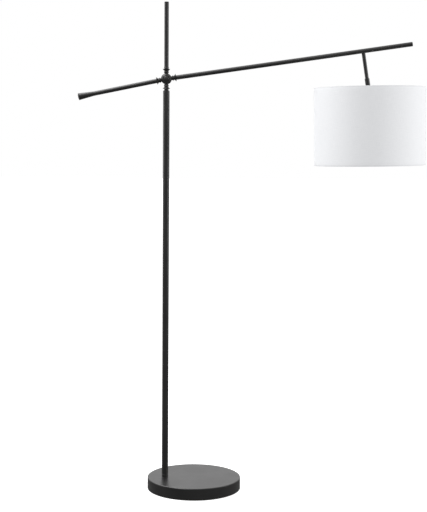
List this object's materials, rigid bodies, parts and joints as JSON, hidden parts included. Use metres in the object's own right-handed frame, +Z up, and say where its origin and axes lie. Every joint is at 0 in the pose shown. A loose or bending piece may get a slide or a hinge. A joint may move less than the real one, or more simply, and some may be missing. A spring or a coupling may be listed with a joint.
{
  "type": "balance-arm floor lamp",
  "caption": "Floor lamp with a weighted round base, a slim post and mast, a friction swivel carrying a long boom, and a drum shade that tilts on a stem.",
  "frame": {"origin": "centre of the round base's underside, on the floor", "axes": "+Z up, +X from the base's centre towards the shade, +Y to the back"},
  "size_m": [1.1712, 0.374, 1.656],
  "materials": {
    "black_satin": "satin black powder coat, very faintly warm",
    "zinc_plate": "zinc-plated steel",
    "bare_steel": "rolled steel sheet",
    "felt": "pressed wool felt",
    "cement": "cast cement",
    "rubber": "matte rubber",
    "fibre": "vulcanised fibre",
    "lead": "sheathed two-core lead",
    "frame_white": "white enamelled wire",
    "liner_film": "white styrene film",
    "shade_cloth": "white plain-weave cloth, bonded to the film",
    "phenolic": "black moulded phenolic",
    "porcelain": "white porcelain",
    "brass": "plain brass",
    "bulb_frost": "frosted glass"
  },
  "bodies": {
    "stand": {"felt_pad": "felt", "base_plate": "bare_steel", "base_weight": "cement", "base_shell": "black_satin", "cord_grommet": "rubber", "base_nut": "zinc_plate", "base_washer": "zinc_plate", "base_nipple": "zinc_plate", "foot_ring": "black_satin", "post_lower": "black_satin", "coupler_lower": "zinc_plate", "post_middle": "black_satin", "coupler_upper": "zinc_plate", "post_upper": "black_satin", "post_cap": "black_satin", "lower_cup": "black_satin", "swivel_rear": "black_satin", "mast_cup": "black_satin", "mast_ring": "black_satin", "mast_tube": "black_satin", "mast_plug": "black_satin", "pivot_bolt": "zinc_plate", "friction_washer": "fibre", "spring_washer": "bare_steel", "lock_nut": "black_satin", "post_lead": "lead"},
    "boom": {"swivel_front": "black_satin", "swivel_cap": "black_satin", "tail_cup": "black_satin", "tail_tube": "black_satin", "tail_weight": "black_satin", "boom_cup": "black_satin", "boom_inner": "black_satin", "boom_coupler": "zinc_plate", "boom_outer": "black_satin", "boom_plug": "black_satin", "stem_nut": "zinc_plate", "stem_tube": "black_satin", "stem_collar": "black_satin", "knuckle_upper": "black_satin", "boom_lead": "lead"},
    "head": {"knuckle_lower": "black_satin", "knuckle_screw": "black_satin", "knuckle_nut": "black_satin", "head_nipple": "zinc_plate", "spider_frame": "frame_white", "spider_nut": "zinc_plate", "bottom_ring": "frame_white", "shade_liner": "liner_film", "shade_fabric": "shade_cloth", "socket_cap": "phenolic", "socket_shell": "phenolic", "socket_core": "porcelain", "screw_shell": "brass", "centre_contact": "brass", "head_lead": "lead", "bulb_cap": "zinc_plate", "bulb_glass": "bulb_frost"},
    "switch": {"switch_knob": "phenolic"}
  },
  "joints": [
    {"name": "boom_tilt", "type": "hinge", "parent": "stand", "child": "boom", "pos_m": [-0.1, 0, 1.401], "axis": [0, -1, 0], "range_deg": [-50, 34]},
    {"name": "shade_tilt", "type": "hinge", "parent": "boom", "child": "head", "pos_m": [0.58362, 0, 1.34283], "axis": [0, -1, 0], "range_deg": [-25, 41]},
    {"name": "switch_turn", "type": "hinge", "parent": "head", "child": "switch", "pos_m": [0.58447, -0.03, 1.29444], "axis": [0, 1, 0], "continuous": true}
  ]
}
